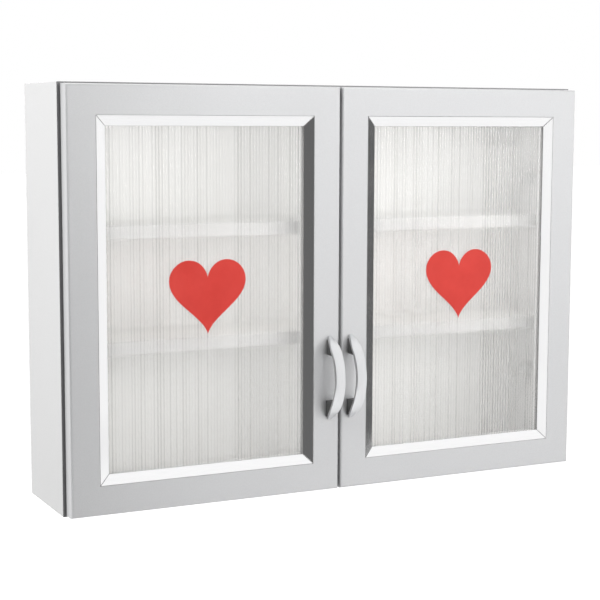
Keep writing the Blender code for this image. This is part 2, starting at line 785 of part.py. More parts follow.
def build_carcass():
    for side_name, side in SIDES.items():
        add_side_panel(side_name, side)
        add_shelf_pins(side_name, side)
        add_wall_hanger(side_name, side)
    add_end_panel("top_panel", 1)
    add_end_panel("bottom_panel", -1)
    add_back_panel()
    add_edge_bands()
    for shelf, underside in shelf_undersides().items():
        add_shelf(shelf, underside)


def build_door(side_name, side):
    link_axis = add_axis("link_axis_" + side_name, hinge_place(side, ARM_PIN, 0.0))
    door_axis = add_axis("door_axis_" + side_name, hinge_place(side, CUP_PIN, 0.0))
    for level_name in LEVELS:
        z = hinge_height(level_name)
        tail = "_" + side_name + "_" + level_name
        add_hinge_plate("hinge_plate" + tail, side, z)
        add_hinge_arm("hinge_arm" + tail, side, z)
        add_hinge_link("hinge_link" + tail, side, z, link_axis)
        add_hinge_cup("hinge_cup" + tail, side, z, door_axis)
    add_door_frame(side_name, side, door_axis)
    add_trims(side_name, side, door_axis)
    add_glazing(side_name, side, door_axis)
    add_decal(side_name, side, door_axis)
    add_handle(side_name, side, door_axis)
    add_handle_screws(side_name, side, door_axis)


build_carcass()
for door_name, door_side in SIDES.items():
    build_door(door_name, door_side)
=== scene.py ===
import math
import random

import bmesh
import bpy
from mathutils import Matrix, Vector


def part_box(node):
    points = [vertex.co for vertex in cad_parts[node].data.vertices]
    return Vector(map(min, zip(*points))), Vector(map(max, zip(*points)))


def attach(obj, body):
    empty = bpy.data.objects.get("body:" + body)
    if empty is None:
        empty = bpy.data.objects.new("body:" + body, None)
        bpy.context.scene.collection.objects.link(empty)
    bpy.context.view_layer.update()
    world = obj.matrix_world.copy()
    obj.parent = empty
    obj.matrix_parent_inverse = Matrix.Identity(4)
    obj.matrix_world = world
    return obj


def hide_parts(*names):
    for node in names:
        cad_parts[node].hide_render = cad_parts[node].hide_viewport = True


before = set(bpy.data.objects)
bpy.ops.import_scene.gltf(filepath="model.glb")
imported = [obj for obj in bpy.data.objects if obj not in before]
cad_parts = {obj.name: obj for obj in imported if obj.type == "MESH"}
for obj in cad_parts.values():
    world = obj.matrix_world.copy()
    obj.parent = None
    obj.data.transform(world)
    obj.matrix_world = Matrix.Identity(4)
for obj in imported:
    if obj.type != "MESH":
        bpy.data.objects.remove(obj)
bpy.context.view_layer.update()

DOORS = ("left", "right")
LEVELS = ("upper", "lower")
TRIM_PLACES = ("top", "left", "bottom", "right")

# Distances within which points count as one, and the angle within which faces count as flat
WELD = 1e-5
FINE_WELD = 1e-6
FLAT_ANGLE = 0.5

# Which way is outward from the middle of the cabinet
OUTWARD = {"left": -1, "right": 1}

# Radii of eased corners
BOARD_EASE = 0.0006
SHELF_EASE = 0.0007
DOOR_EASE = 0.0005
HINGE_EASE = 0.0004
SMALL_EASE = 0.0003
SEAL_EASE = 0.0002

# Depths where a board's finish changes
SHELF_BAND_END = -0.1063
RAW_BACK_EDGE = -0.00025
RAW_BACK_FACE = -0.0030

# Ribbed glass
RIBS = 66
STEPS_PER_RIB = 8
RIB_DEPTH = 0.00045
RIB_UNEVENNESS = 0.10
GROOVE_DEPTHS = (0.6, 1.0)
LIGHT_SPREAD = 0.35

# Glazing trim: across the bar from its outer edge, and up from its seat
TRIM_SECTION = (
    (0.0000, 0.0000),
    (0.0000, 0.0055),
    (0.0120, 0.0007),
    (0.0120, 0.0000),
)

# Handles
BOW_THICKNESS = 0.0039
BOW_CORNER = 0.0011
BOW_STEPS = 56
BOW_OVERRUN = 16.0
BOW_INSET = 0.00002
TIP_LENGTH = 0.018
TIP_NARROWING = 0.7
TIP_CURVE = 1.6
FOOT_WIDTH = 0.0092
FOOT_INNER_END = 0.0290
FOOT_OUTER_END = 0.0475
FOOT_INNER_HEIGHT = 0.0175
FOOT_OUTER_HEIGHT = 0.0022
FOOT_LEAN = 0.0010
FOOT_ROUNDING = 0.0007

# Screw heads: radius, height and crown
HANGER_SCREW = (0.0036, 0.0016, 0.0008)
PLATE_SCREW = (0.0034, 0.0011, 0.0005)
ARM_SCREW = (0.0030, 0.0008, 0.0003)
CUP_SCREW = (0.0033, 0.0006, 0.0003)
HANDLE_SCREW_CROWN = 0.0008

# Cross recess: cells across a head, cells in an arm, and depth as a share of the head
SCREW_CELLS = 7
CROSS_ARM = 2
CROSS_DEPTH = 0.55

# Where the screws sit
HANGER_STEP = 0.032
HANGER_SCREW_STEPS = (-0.012, 0.012)
PLATE_SCREW_STEPS = (-0.0155, 0.0155)
ARM_SCREW_STEPS = (0.007, 0.027)
CUP_SCREW_STEPS = (-0.0222, 0.0222)
PLATE_FACE = 0.3297
ARM_FACE = 0.3197
DOOR_BACK = -0.132

# Studio
FLOOR_LEVEL = -0.9
FLOOR_REACH = 30.0
CARD_HEIGHT = 2.3
WORLD_LIGHT = 0.1

# Dark cards: where they stand, and how bright they look
DARK_CARDS = {
    "dark_card_left": (((0.04, -1.3), (-1.9, -1.3), (-1.9, -0.2)), 0.13),
    "dark_card_right": (((2.3, -1.05), (4.0, -1.05)), 0.12),
}

# Soft lights: place, width, height and brightness
SOFTBOXES = {
    "softbox_front": ((0.14, -1.3, 0.45), 0.32, 0.7, 9.8),
    "softbox_above": ((0.2, -0.75, 1.25), 1.4, 0.4, 2.8),
    "softbox_right": ((1.9, -2.0, 0.6), 1.6, 1.6, 4.2),
    "softbox_left": ((-2.3, -0.3, 1.4), 1.6, 1.6, 9.9),
    "softbox_back": ((0.9, 2.6, 1.3), 1.8, 1.8, 3.0),
}

# Camera: angles in degrees, lens and sensor in millimetres
CAMERA_TURN = 26.299
CAMERA_TILT = 6.701
CAMERA_LEAN = 0.176
CAMERA_LENS = 90.40
CAMERA_SENSOR = 36.0
CAMERA_PLACE = (-0.85960, -1.77687, 0.20439)


# Mesh helpers


def mesh_from(shape, name, sharp=35.0):
    """A mesh from a finished bmesh, smooth but for its sharp edges."""
    mesh = bpy.data.meshes.new(name)
    shape.to_mesh(mesh)
    shape.free()
    mesh.shade_smooth()
    mesh.set_sharp_from_angle(angle=math.radians(sharp))
    return mesh


def in_scene(name, data):
    """A new object in the scene."""
    made = bpy.data.objects.new(name, data)
    bpy.context.scene.collection.objects.link(made)
    return made


def new_piece(name, mesh, body, finish, nodes=()):
    """A piece of the cabinet that moves with a body and may stand for CAD nodes."""
    piece = in_scene(name, mesh)
    mesh.materials.clear()
    mesh.materials.append(finish)
    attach(piece, body)
    if nodes:
        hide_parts(*nodes)
    return piece


def verts_of(result):
    """The vertices in an operator's result."""
    return [part for part in result["geom"] if isinstance(part, bmesh.types.BMVert)]


def axes_matrix(axes, origin):
    """The matrix of three axes and an origin."""
    matrix = Matrix.Identity(4)
    for column, axis in enumerate(axes):
        matrix.col[column].xyz = axis
    matrix.translation = origin
    return matrix


def ease(piece, radius, steps=2, from_angle=50.0):
    """Rounds a piece's sharp corners a little and keeps its flat faces flat."""
    easing = piece.modifiers.new("Eased corners", "BEVEL")
    easing.width = radius
    easing.segments = steps
    easing.limit_method = "ANGLE"
    easing.angle_limit = math.radians(from_angle)
    flat = piece.modifiers.new("Flat faces", "WEIGHTED_NORMAL")
    flat.keep_sharp = True


def eased_piece(node, body, finish, radius):
    """A node's own shape with its sharp corners eased, as sanding or forming leaves them."""
    shape = bmesh.new()
    shape.from_mesh(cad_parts[node].data)
    bmesh.ops.remove_doubles(shape, verts=shape.verts, dist=WELD)
    bmesh.ops.dissolve_limit(
        shape,
        angle_limit=math.radians(FLAT_ANGLE),
        verts=shape.verts,
        edges=shape.edges,
    )
    mesh = mesh_from(shape, f"{node}_piece", sharp=80.0)
    piece = new_piece(f"{node}_piece", mesh, body, finish, [node])
    ease(piece, radius)


# Shader helpers


def put(tree, kind, choices=None, inputs=None):
    """Adds a node with settings of its own. Inputs hold values or links by name or number."""
    made = tree.nodes.new(kind)
    for name, value in (choices or {}).items():
        setattr(made, name, value)
    feed(tree, made, inputs or {})
    return made


def feed(tree, made, inputs):
    """Sets or links a node's inputs."""
    for name, value in inputs.items():
        if isinstance(value, bpy.types.NodeSocket):
            tree.links.new(value, made.inputs[name])
        else:
            made.inputs[name].default_value = value


def mixed(tree, share, first, second):
    """A colour between two colours."""
    made = put(
        tree,
        "ShaderNodeMix",
        {"data_type": "RGBA"},
        {0: share, 6: first, 7: second},
    )
    return made.outputs[2]


def ranged(tree, value, low, high, from_low=0.0, from_high=1.0):
    """A value moved from one range to another."""
    made = put(
        tree,
        "ShaderNodeMapRange",
        None,
        {
            "Value": value,
            "From Min": from_low,
            "From Max": from_high,
            "To Min": low,
            "To Max": high,
        },
    )
    return made.outputs["Result"]


def worked(tree, operation, first, second):
    """Two values joined by a sum, product or comparison."""
    made = put(tree, "ShaderNodeMath", {"operation": operation}, {0: first, 1: second})
    return made.outputs[0]


def blended(tree, share, first, second):
    """A value between two values."""
    made = put(tree, "ShaderNodeMix", {"data_type": "FLOAT"}, {0: share, 2: first, 3: second})
    return made.outputs[0]


def noise(tree, place, scale, detail, roughness=0.5):
    """Cloudy noise between zero and one."""
    made = put(
        tree,
        "ShaderNodeTexNoise",
        None,
        {"Vector": place, "Scale": scale, "Detail": detail, "Roughness": roughness},
    )
    return made.outputs[0]


def grey(level):
    """A neutral colour."""
    return (level, level, level, 1.0)


def new_effect(name, inputs, outputs):
    """A shader node group with named sockets, and its own start and end."""
    tree = bpy.data.node_groups.new(name, "ShaderNodeTree")
    for label, kind, value in inputs:
        socket = tree.interface.new_socket(name=label, in_out="INPUT", socket_type=kind)
        if value is not None:
            socket.default_value = value
    for label, kind in outputs:
        tree.interface.new_socket(name=label, in_out="OUTPUT", socket_type=kind)
    start = tree.nodes.new("NodeGroupInput")
    end = tree.nodes.new("NodeGroupOutput")
    return tree, start.outputs, end


def new_finish(name):
    """A material, its node tree, its shader and the place on the piece."""
    finish = bpy.data.materials.new(name)
    finish.use_nodes = True
    tree = finish.node_tree
    shader = tree.nodes["Principled BSDF"]
    place = tree.nodes.new("ShaderNodeTexCoord").outputs["Object"]
    return finish, tree, shader, place


def show(tree, shader):
    """Makes a shader the material's surface."""
    tree.links.new(shader.outputs[0], tree.nodes["Material Output"].inputs["Surface"])


def bumped(tree, height, strength, distance):
    """A normal that follows a height."""
    made = put(
        tree,
        "ShaderNodeBump",
        None,
        {"Strength": strength, "Distance": distance, "Height": height},
    )
    return made.outputs["Normal"]


# Shared effects


def make_pigment_fleck():
    """Tiny cells of lighter and darker pigment."""
    tree, given, end = new_effect(
        "pigment_fleck",
        [
            ("Vector", "NodeSocketVector", None),
            ("Scale", "NodeSocketFloat", 1800.0),
        ],
        [("Fleck", "NodeSocketFloat")],
    )
    cells = put(
        tree,
        "ShaderNodeTexVoronoi",
        {"feature": "F1"},
        {"Vector": given["Vector"], "Scale": given["Scale"]},
    )
    parts = put(tree, "ShaderNodeSeparateColor", None, {"Color": cells.outputs["Color"]})
    tree.links.new(parts.outputs[0], end.inputs["Fleck"])
    return tree


def make_soft_patches():
    """Broad uneven patches, such as handling and cleaning leave."""
    tree, given, end = new_effect(
        "soft_patches",
        [
            ("Vector", "NodeSocketVector", None),
            ("Scale", "NodeSocketFloat", 6.0),
            ("Low", "NodeSocketFloat", 0.0),
            ("High", "NodeSocketFloat", 1.0),
        ],
        [("Value", "NodeSocketFloat")],
    )
    cloud = noise(tree, given["Vector"], given["Scale"], 3.0, 0.55)
    made = ranged(tree, cloud, given["Low"], given["High"], 0.3, 0.7)
    tree.links.new(made, end.inputs["Value"])
    return tree


def make_drawn_lines():
    """Fine lines along one direction, from brushing, drawing or rolling."""
    tree, given, end = new_effect(
        "drawn_lines",
        [
            ("Vector", "NodeSocketVector", None),
            ("Stretch", "NodeSocketVector", (1.0, 1.0, 1.0)),
            ("Scale", "NodeSocketFloat", 900.0),
        ],
        [("Lines", "NodeSocketFloat")],
    )
    drawn = put(
        tree,
        "ShaderNodeVectorMath",
        {"operation": "MULTIPLY"},
        {0: given["Vector"], 1: given["Stretch"]},
    )
    made = noise(tree, drawn.outputs[0], given["Scale"], 2.0, 0.6)
    tree.links.new(made, end.inputs["Lines"])
    return tree


def make_settled_dust():
    """A thin patchy veil on faces that look up."""
    tree, given, end = new_effect(
        "settled_dust",
        [
            ("Vector", "NodeSocketVector", None),
            ("Amount", "NodeSocketFloat", 0.2),
        ],
        [("Mask", "NodeSocketFloat")],
    )
    facing = put(tree, "ShaderNodeNewGeometry")
    sides = put(tree, "ShaderNodeSeparateXYZ", None, {0: facing.outputs["Normal"]})
    upward = ranged(tree, sides.outputs["Z"], 0.0, 1.0, 0.6, 0.95)
    cloud = noise(tree, given["Vector"], 45.0, 5.0, 0.7)
    patchy = ranged(tree, cloud, 0.25, 1.0, 0.35, 0.65)
    veil = worked(tree, "MULTIPLY", upward, patchy)
    made = worked(tree, "MULTIPLY", veil, given["Amount"])
    tree.links.new(made, end.inputs["Mask"])
    return tree


def make_pressed_wood():
    """Raw pressed wood: chips or fibres of several browns."""
    tree, given, end = new_effect(
        "pressed_wood",
        [
            ("Vector", "NodeSocketVector", None),
            ("Scale", "NodeSocketFloat", 500.0),
            ("Pale", "NodeSocketColor", (0.56, 0.41, 0.25, 1.0)),
            ("Dark", "NodeSocketColor", (0.33, 0.21, 0.11, 1.0)),
        ],
        [("Color", "NodeSocketColor"), ("Height", "NodeSocketFloat")],
    )
    chips = put(
        tree,
        "ShaderNodeTexVoronoi",
        {"feature": "F1"},
        {"Vector": given["Vector"], "Scale": given["Scale"], "Randomness": 1.0},
    )
    parts = put(tree, "ShaderNodeSeparateColor", None, {"Color": chips.outputs["Color"]})
    cloud = noise(tree, given["Vector"], 60.0, 6.0, 0.65)
    chip_share = worked(tree, "MULTIPLY", parts.outputs[0], 0.6)
    cloud_share = ranged(tree, cloud, -0.1, 0.5, 0.3, 0.7)
    share = worked(tree, "ADD", chip_share, cloud_share)
    made = mixed(tree, share, given["Dark"], given["Pale"])
    tree.links.new(made, end.inputs["Color"])
    tree.links.new(chips.outputs["Distance"], end.inputs["Height"])
    return tree


FLECK = make_pigment_fleck()
PATCHES = make_soft_patches()
LINES = make_drawn_lines()
DUST = make_settled_dust()
PRESSED = make_pressed_wood()


def fleck(tree, place, scale):
    """The pigment fleck at a scale."""
    made = put(tree, "ShaderNodeGroup", {"node_tree": FLECK}, {"Vector": place, "Scale": scale})
    return made.outputs["Fleck"]


def patches(tree, place, scale, low, high):
    """Soft patches between two values."""
    made = put(
        tree,
        "ShaderNodeGroup",
        {"node_tree": PATCHES},
        {"Vector": place, "Scale": scale, "Low": low, "High": high},
    )
    return made.outputs["Value"]


def lines(tree, place, stretch, scale):
    """Fine lines, long where the stretch is small."""
    made = put(
        tree,
        "ShaderNodeGroup",
        {"node_tree": LINES},
        {"Vector": place, "Stretch": stretch, "Scale": scale},
    )
    return made.outputs["Lines"]


def dust(tree, place, amount):
    """The veil of dust."""
    made = put(tree, "ShaderNodeGroup", {"node_tree": DUST}, {"Vector": place, "Amount": amount})
    return made.outputs["Mask"]


def behind(tree, place, depth):
    """One from a depth on towards the wall, and zero in front of it."""
    sides = put(tree, "ShaderNodeSeparateXYZ", None, {0: place})
    return worked(tree, "GREATER_THAN", sides.outputs["Y"], depth)


# Finishes


def make_silver_film():
    """Silver-grey film on the doors, with a fine fleck and a faint orange peel."""
    finish, tree, shader, place = new_finish("silver_film_wrap")
    grain = fleck(tree, place, 2200.0)
    pigment = mixed(tree, grain, (0.635, 0.638, 0.647, 1), (0.695, 0.698, 0.705, 1))
    shaded = mixed(tree, patches(tree, place, 5.0, 0.0, 0.12), pigment, (0.74, 0.74, 0.745, 1))
    veiled = mixed(tree, dust(tree, place, 0.25), shaded, (0.74, 0.73, 0.71, 1))
    peel = noise(tree, place, 620.0, 2.0)
    feed(
        tree,
        shader,
        {
            "Base Color": veiled,
            "Roughness": patches(tree, place, 9.0, 0.36, 0.44),
            "Metallic": 0.45,
            "Normal": bumped(tree, peel, 0.05, 0.0004),
        },
    )
    return finish


def make_carcass_film():
    """Pale grey film on the carcass boards, with raw pressed wood on their back edges."""
    finish, tree, shader, place = new_finish("carcass_film_wrap")
    pigment = mixed(tree, fleck(tree, place, 2000.0), grey(0.62), grey(0.66))
    shaded = mixed(tree, patches(tree, place, 4.0, 0.0, 0.15), pigment, (0.61, 0.61, 0.608, 1))
    veiled = mixed(tree, dust(tree, place, 0.3), shaded, (0.67, 0.66, 0.63, 1))
    chips = put(
        tree,
        "ShaderNodeGroup",
        {"node_tree": PRESSED},
        {"Vector": place, "Scale": 520.0},
    )
    raw = behind(tree, place, RAW_BACK_EDGE)
    coloured = mixed(tree, raw, veiled, chips.outputs["Color"])
    peel = noise(tree, place, 700.0, 2.0)
    height = blended(tree, raw, peel, chips.outputs["Height"])
    satin = patches(tree, place, 8.0, 0.40, 0.50)
    feed(
        tree,
        shader,
        {
            "Base Color": coloured,
            "Roughness": blended(tree, raw, satin, 0.9),
            "Normal": bumped(tree, height, 0.06, 0.0005),
        },
    )
    return finish


def white_pigment(tree, place):
    """The white of the shelves and of the back's inner face."""
    return mixed(tree, fleck(tree, place, 1500.0), (0.86, 0.86, 0.85, 1), (0.90, 0.90, 0.89, 1))


def make_white_board():
    """White melamine on the shelves, with a pearly grain, a little dust and a grey front edge."""
    finish, tree, shader, place = new_finish("white_melamine")
    pigment = white_pigment(tree, place)
    veiled = mixed(tree, dust(tree, place, 0.35), pigment, (0.76, 0.75, 0.72, 1))
    banded = mixed(tree, behind(tree, place, SHELF_BAND_END), grey(0.49), veiled)
    pearl = noise(tree, place, 900.0, 3.0, 0.6)
    feed(
        tree,
        shader,
        {
            "Base Color": banded,
            "Roughness": patches(tree, place, 10.0, 0.45, 0.56),
            "Normal": bumped(tree, pearl, 0.08, 0.0004),
        },
    )
    return finish


def make_back_board():
    """Thin fibreboard: white inside, raw brown fibres on the wall side."""
    finish, tree, shader, place = new_finish("thin_fibreboard")
    pigment = white_pigment(tree, place)
    fibres = put(
        tree,
        "ShaderNodeGroup",
        {"node_tree": PRESSED},
        {
            "Vector": place,
            "Scale": 1300.0,
            "Pale": (0.50, 0.35, 0.21, 1.0),
            "Dark": (0.31, 0.20, 0.11, 1.0),
        },
    )
    raw = behind(tree, place, RAW_BACK_FACE)
    coloured = mixed(tree, raw, pigment, fibres.outputs["Color"])
    satin = patches(tree, place, 10.0, 0.48, 0.58)
    feed(
        tree,
        shader,
        {
            "Base Color": coloured,
            "Roughness": blended(tree, raw, satin, 0.85),
            "Normal": bumped(tree, fibres.outputs["Height"], 0.05, 0.0004),
        },
    )
    return finish


def make_edge_band():
    """Dark grey plastic edging with a fine rolled grain along its length."""
    finish, tree, shader, place = new_finish("dark_edging")
    grain = lines(tree, place, (1.0, 1.0, 0.05), 1500.0)
    coloured = mixed(tree, grain, (0.19, 0.19, 0.195, 1), (0.27, 0.27, 0.275, 1))
    veiled = mixed(tree, dust(tree, place, 0.3), coloured, (0.42, 0.41, 0.39, 1))
    feed(
        tree,
        shader,
        {
            "Base Color": veiled,
            "Roughness": patches(tree, place, 20.0, 0.42, 0.56),
            "Normal": bumped(tree, grain, 0.1, 0.0003),
        },
    )
    return finish


def make_zinc_steel():
    """Zinc-plated steel with a soft mottle and faint rolling lines."""
    finish, tree, shader, place = new_finish("zinc_plate")
    mottle = patches(tree, place, 140.0, 0.0, 1.0)
    rolled = lines(tree, place, (1.0, 0.06, 1.0), 1200.0)
    coloured = mixed(tree, mottle, (0.40, 0.405, 0.41, 1), (0.54, 0.54, 0.535, 1))
    feed(
        tree,
        shader,
        {
            "Base Color": coloured,
            "Roughness": patches(tree, place, 90.0, 0.24, 0.40),
            "Metallic": 1.0,
            "Normal": bumped(tree, rolled, 0.06, 0.0002),
        },
    )
    return finish


def make_chrome_trim(name, stretch):
    """Bright plated trim with hairlines along the bar."""
    finish, tree, shader, place = new_finish(name)
    hairlines = lines(tree, place, stretch, 1400.0)
    coloured = mixed(tree, hairlines, (0.90, 0.90, 0.905, 1), (0.98, 0.98, 0.985, 1))
    feed(
        tree,
        shader,
        {
            "Base Color": coloured,
            "Roughness": patches(tree, place, 30.0, 0.06, 0.11),
            "Metallic": 1.0,
            "Normal": bumped(tree, hairlines, 0.05, 0.0002),
        },
    )
    return finish


def make_ribbed_glass():
    """Ribbed glass, a little milky, with painted shade darkening the grooves. It spreads part of
    the light.
    """
    finish, tree, shader, place = new_finish("ribbed_glass_sheet")
    rise = put(tree, "ShaderNodeAttribute", {"attribute_name": "rib_rise"}).outputs["Fac"]
    streaks = ranged(tree, lines(tree, place, (1.0, 1.0, 0.012), 95.0), 0.0, 1.0, 0.35, 0.65)
    # Painted shade: the grooves take a grey base colour that stands in for the ribs' light and dark
    # lines
    groove_painted_shade = mixed(tree, streaks, (0.50, 0.495, 0.48, 1), (0.76, 0.753, 0.737, 1))
    crest = mixed(tree, streaks, (0.985, 0.977, 0.96, 1), (1.0, 0.993, 0.978, 1))
    feed(
        tree,
        shader,
        {
            "Base Color": mixed(tree, ranged(tree, rise, 0.0, 1.0, 0.0, 0.6), groove_painted_shade, crest),
            "Roughness": patches(tree, place, 25.0, 0.17, 0.22),
            "IOR": 1.5,
            "Transmission Weight": 0.90,
        },
    )
    path = tree.nodes.new("ShaderNodeLightPath")
    passing = worked(tree, "MAXIMUM", path.outputs["Is Shadow Ray"], path.outputs["Is Diffuse Ray"])
    straight = put(tree, "ShaderNodeBsdfTransparent", None, {"Color": grey(1.0)})
    spread = put(tree, "ShaderNodeBsdfTranslucent", None, {"Color": grey(1.0)})
    light = put(
        tree,
        "ShaderNodeMixShader",
        None,
        {0: LIGHT_SPREAD, 1: straight.outputs[0], 2: spread.outputs[0]},
    )
    both = put(
        tree,
        "ShaderNodeMixShader",
        None,
        {0: passing, 1: shader.outputs[0], 2: light.outputs[0]},
    )
    show(tree, both)
    return finish


def make_grey_rubber():
    """Soft grey rubber with a dry bloom."""
    finish, tree, shader, place = new_finish("grey_seal_rubber")
    bloom = patches(tree, place, 60.0, 0.0, 1.0)
    coloured = mixed(tree, bloom, grey(0.20), grey(0.27))
    grain = noise(tree, place, 2500.0, 2.0)
    feed(
        tree,
        shader,
        {
            "Base Color": coloured,
            "Roughness": patches(tree, place, 80.0, 0.6, 0.8),
            "Normal": bumped(tree, grain, 0.15, 0.0002),
        },
    )
    return finish


def make_satin_handle():
    """Satin plated casting, brushed along the bow."""
    finish, tree, shader, place = new_finish("satin_plating")
    brushed = lines(tree, place, (1.0, 0.12, 0.05), 2200.0)
    coloured = mixed(tree, brushed, (0.76, 0.765, 0.775, 1), (0.85, 0.855, 0.865, 1))
    feed(
        tree,
        shader,
        {
            "Base Color": coloured,
            "Roughness": patches(tree, place, 70.0, 0.28, 0.36),
            "Metallic": 1.0,
            "Normal": bumped(tree, brushed, 0.05, 0.0002),
        },
    )
    return finish


def make_foot_painted_shade():
    """Rough casting under the bow's ends, its dark grey a painted shade for the shadow under the
    bow.
    """
    finish, tree, shader, place = new_finish("foot_painted_shade")
    sand = noise(tree, place, 1600.0, 4.0, 0.6)
    # Painted shade: these dark greys stand in for the shade under the bow's ends
    coloured = mixed(tree, sand, grey(0.09), grey(0.16))
    feed(
        tree,
        shader,
        {
            "Base Color": coloured,
            "Roughness": patches(tree, place, 120.0, 0.45, 0.6),
            "Metallic": 0.5,
            "Normal": bumped(tree, sand, 0.12, 0.0002),
        },
    )
    return finish


def make_red_vinyl():
    """Red sign film with a slight orange peel."""
    finish, tree, shader, place = new_finish("red_sign_film")
    mottle = patches(tree, place, 40.0, 0.0, 1.0)
    coloured = mixed(tree, mottle, (0.60, 0.040, 0.030, 1), (0.66, 0.052, 0.040, 1))
    peel = noise(tree, place, 800.0, 2.0)
    feed(
        tree,
        shader,
        {
            "Base Color": coloured,
            "Roughness": patches(tree, place, 50.0, 0.34, 0.44),
            "Normal": bumped(tree, peel, 0.05, 0.0003),
        },
    )
    return finish


SILVER_FILM = make_silver_film()
CARCASS_FILM = make_carcass_film()
WHITE_BOARD = make_white_board()
BACK_BOARD = make_back_board()
EDGE_BAND = make_edge_band()
ZINC_STEEL = make_zinc_steel()
CHROME_LEVEL = make_chrome_trim("bright_trim_level", (0.03, 1.0, 1.0))
CHROME_UPRIGHT = make_chrome_trim("bright_trim_upright", (1.0, 1.0, 0.03))
RIBBED_GLASS = make_ribbed_glass()
GREY_RUBBER = make_grey_rubber()
SATIN_HANDLE = make_satin_handle()
FOOT_PAINTED_SHADE = make_foot_painted_shade()
RED_VINYL = make_red_vinyl()


# Carcass


def dress_hanger(side):
    """One hanger and the screws that hold it to the side."""
    node = f"wall_hanger_{side}"
    eased_piece(node, "carcass", ZINC_STEEL, SMALL_EASE)
    low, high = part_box(node)
    middle = (low + high) / 2
    sign = OUTWARD[side]
    inner_face = sign * (min(abs(low.x), abs(high.x)) + HANGER_STEP)
    screw_set(
        f"{node}_screws",
        "carcass",
        [(inner_face, middle.y, middle.z + step) for step in HANGER_SCREW_STEPS],
        (sign, 0, 0),
        HANGER_SCREW,
    )


def dress_carcass():
    """Boards, edging, shelves, pins and hangers."""
    for node in ("side_panel_left", "side_panel_right", "top_panel", "bottom_panel"):
        eased_piece(node, "carcass", CARCASS_FILM, BOARD_EASE)
    eased_piece("back_panel", "carcass", BACK_BOARD, SMALL_EASE)
    for place in ("left", "right", "top", "bottom"):
        eased_piece(f"edge_band_{place}", "carcass", EDGE_BAND, SMALL_EASE)
    for level in LEVELS:
        eased_piece(f"{level}_shelf", "carcass", WHITE_BOARD, SHELF_EASE)
        for depth in ("front", "back"):
            for side in DOORS:
                pin = f"shelf_pin_{level}_{depth}_{side}"
                eased_piece(pin, "carcass", ZINC_STEEL, SMALL_EASE)
    for side in DOORS:
        dress_hanger(side)


# Screws


def add_screw_head(shape, head, place, inward):
    """A round head with a cross recess. Inward is the way from the head into what it holds."""
    radius, height, crown = head
    made = bmesh.ops.create_grid(
        shape,
        x_segments=SCREW_CELLS,
        y_segments=SCREW_CELLS,
        size=1.0,
    )
    top = made["verts"]
    faces = dict.fromkeys(face for vert in top for face in vert.link_faces)
    cell = 2.0 / SCREW_CELLS
    cross = []
    for face in faces:
        middle = face.calc_center_median()
        across = round(middle.x / cell)
        along = round(middle.y / cell)
        in_row = along == 0 and abs(across) <= CROSS_ARM
        in_column = across == 0 and abs(along) <= CROSS_ARM
        if in_row or in_column:
            cross.append(face)
    touching = dict.fromkeys(edge for vert in top for edge in vert.link_edges)
    rim = [edge for edge in touching if edge.is_boundary]
    for vert in top:
        x, y = vert.co.x, vert.co.y
        vert.co.x = x * math.sqrt(1 - y * y / 2) * radius
        vert.co.y = y * math.sqrt(1 - x * x / 2) * radius
        vert.co.z = height - crown * (vert.co.xy.length / radius) ** 2
    sunk = verts_of(bmesh.ops.extrude_face_region(shape, geom=cross))
    bmesh.ops.translate(shape, verts=sunk, vec=(0, 0, -CROSS_DEPTH * height))
    bmesh.ops.delete(shape, geom=[face for face in cross if face.is_valid], context="FACES_ONLY")
    skirt = bmesh.ops.extrude_edge_only(shape, edges=rim)
    low = verts_of(skirt)
    for vert in low:
        vert.co.z = 0.0
    base = [part for part in skirt["geom"] if isinstance(part, bmesh.types.BMEdge)]
    bmesh.ops.contextual_create(shape, geom=[edge for edge in base if edge.is_boundary])
    turn = Vector((0, 0, -1)).rotation_difference(Vector(inward)).to_matrix().to_4x4()
    every = list(dict.fromkeys([vert for vert in top if vert.is_valid] + sunk + low))
    bmesh.ops.transform(shape, matrix=Matrix.Translation(place) @ turn, verts=every)


def screw_set(name, body, places, inward, head, nodes=()):
    """Several screws of one kind as one piece."""
    shape = bmesh.new()
    for place in places:
        add_screw_head(shape, head, Vector(place), inward)
    bmesh.ops.recalc_face_normals(shape, faces=shape.faces)
    mesh = mesh_from(shape, name, sharp=40.0)
    new_piece(name, mesh, body, ZINC_STEEL, nodes)


# Hinges


def dress_hinge(side, level):
    """Plate, arm, link and cup of one hinge, with the screws that hold and set them."""
    tail = f"{side}_{level}"
    door = f"{side}_door"
    sign = OUTWARD[side]
    eased_piece(f"hinge_plate_{tail}", "carcass", ZINC_STEEL, HINGE_EASE)
    eased_piece(f"hinge_arm_{tail}", "carcass", ZINC_STEEL, HINGE_EASE)
    eased_piece(f"hinge_link_{tail}", f"{side}_hinge_links", ZINC_STEEL, SMALL_EASE)
    eased_piece(f"hinge_cup_{tail}", door, ZINC_STEEL, SMALL_EASE)
    low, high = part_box(f"hinge_plate_{tail}")
    middle = (low + high) / 2
    places = [(sign * PLATE_FACE, middle.y, middle.z + step) for step in PLATE_SCREW_STEPS]
    screw_set(f"hinge_plate_screws_{tail}", "carcass", places, (sign, 0, 0), PLATE_SCREW)
    low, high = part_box(f"hinge_arm_{tail}")
    middle = (low + high) / 2
    places = [(sign * ARM_FACE, high.y - step, middle.z) for step in ARM_SCREW_STEPS]
    screw_set(f"hinge_arm_screws_{tail}", "carcass", places, (sign, 0, 0), ARM_SCREW)
    low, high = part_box(f"hinge_cup_{tail}")
    middle = (low + high) / 2
    places = [(middle.x, high.y, middle.z + step) for step in CUP_SCREW_STEPS]
    screw_set(f"hinge_cup_screws_{tail}", door, places, (0, -1, 0), CUP_SCREW)


# Doors


